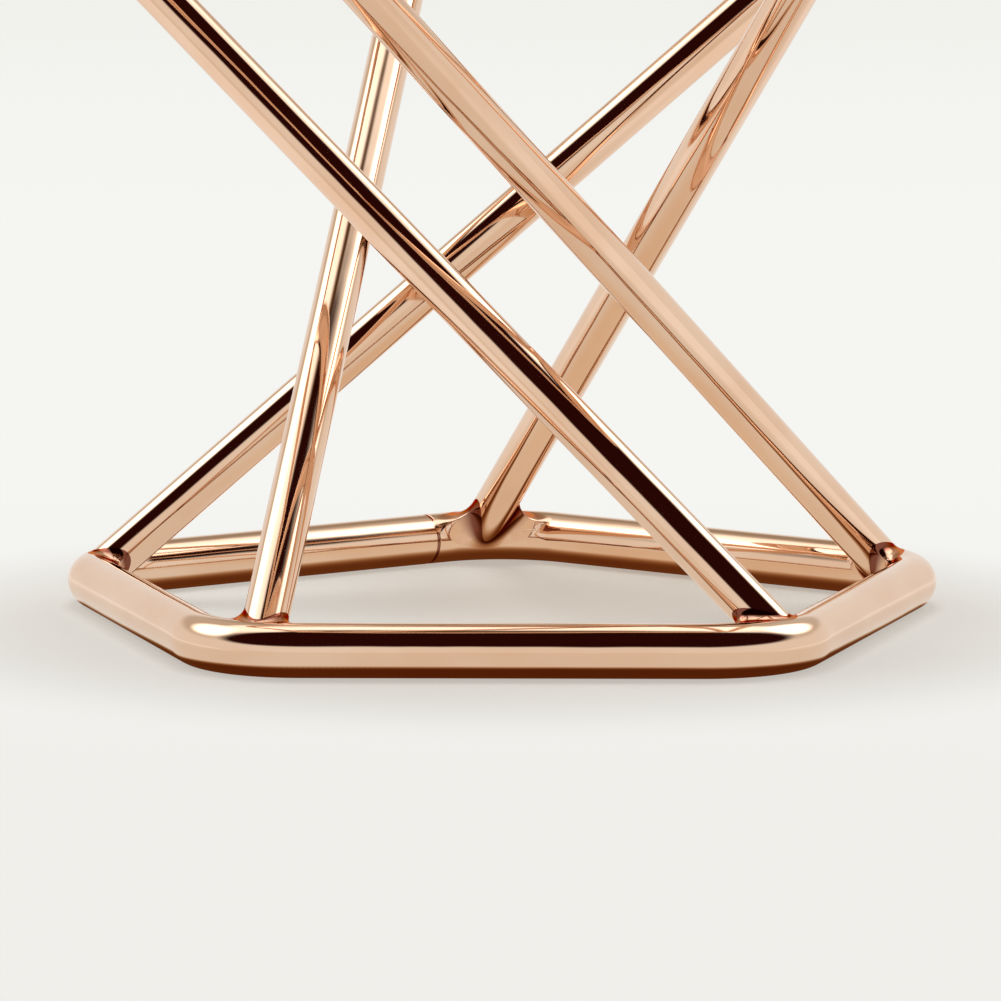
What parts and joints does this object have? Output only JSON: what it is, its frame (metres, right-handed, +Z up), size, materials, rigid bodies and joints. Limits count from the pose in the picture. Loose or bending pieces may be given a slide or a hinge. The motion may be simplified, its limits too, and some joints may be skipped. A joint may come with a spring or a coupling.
{
  "type": "air plant holder",
  "caption": "Openwork stand of polished round rod: a base ring and a top ring joined by straight slanted struts that twist in to a narrow waist and cradle an air plant.",
  "frame": {"origin": "centre of the base ring, on the table that it rests on", "axes": "+Z up, along the axis that the struts twist about; +Y square to the base ring's straight front side, from the front to its back corner; +X to the right seen from the front"},
  "size_m": [0.1024, 0.1018, 0.084],
  "materials": {
    "rose_gold_rod": "mirror-polished rose gold plating on steel rod",
    "rose_gold_weld": "dressed weld metal under the same rose gold plating, slightly softer polish"
  },
  "bodies": {
    "root": {"base_ring": "rose_gold_rod", "base_ring_seam": "rose_gold_weld", "top_ring": "rose_gold_rod", "top_ring_seam": "rose_gold_weld", "strut_back": "rose_gold_rod", "strut_left": "rose_gold_rod", "strut_front_left": "rose_gold_rod", "strut_front_right": "rose_gold_rod", "strut_right": "rose_gold_rod", "foot_weld_back": "rose_gold_weld", "foot_weld_left": "rose_gold_weld", "foot_weld_front_left": "rose_gold_weld", "foot_weld_front_right": "rose_gold_weld", "foot_weld_right": "rose_gold_weld", "head_weld_back": "rose_gold_weld", "head_weld_left": "rose_gold_weld", "head_weld_front_left": "rose_gold_weld", "head_weld_front_right": "rose_gold_weld", "head_weld_right": "rose_gold_weld"}
  },
  "joints": []
}
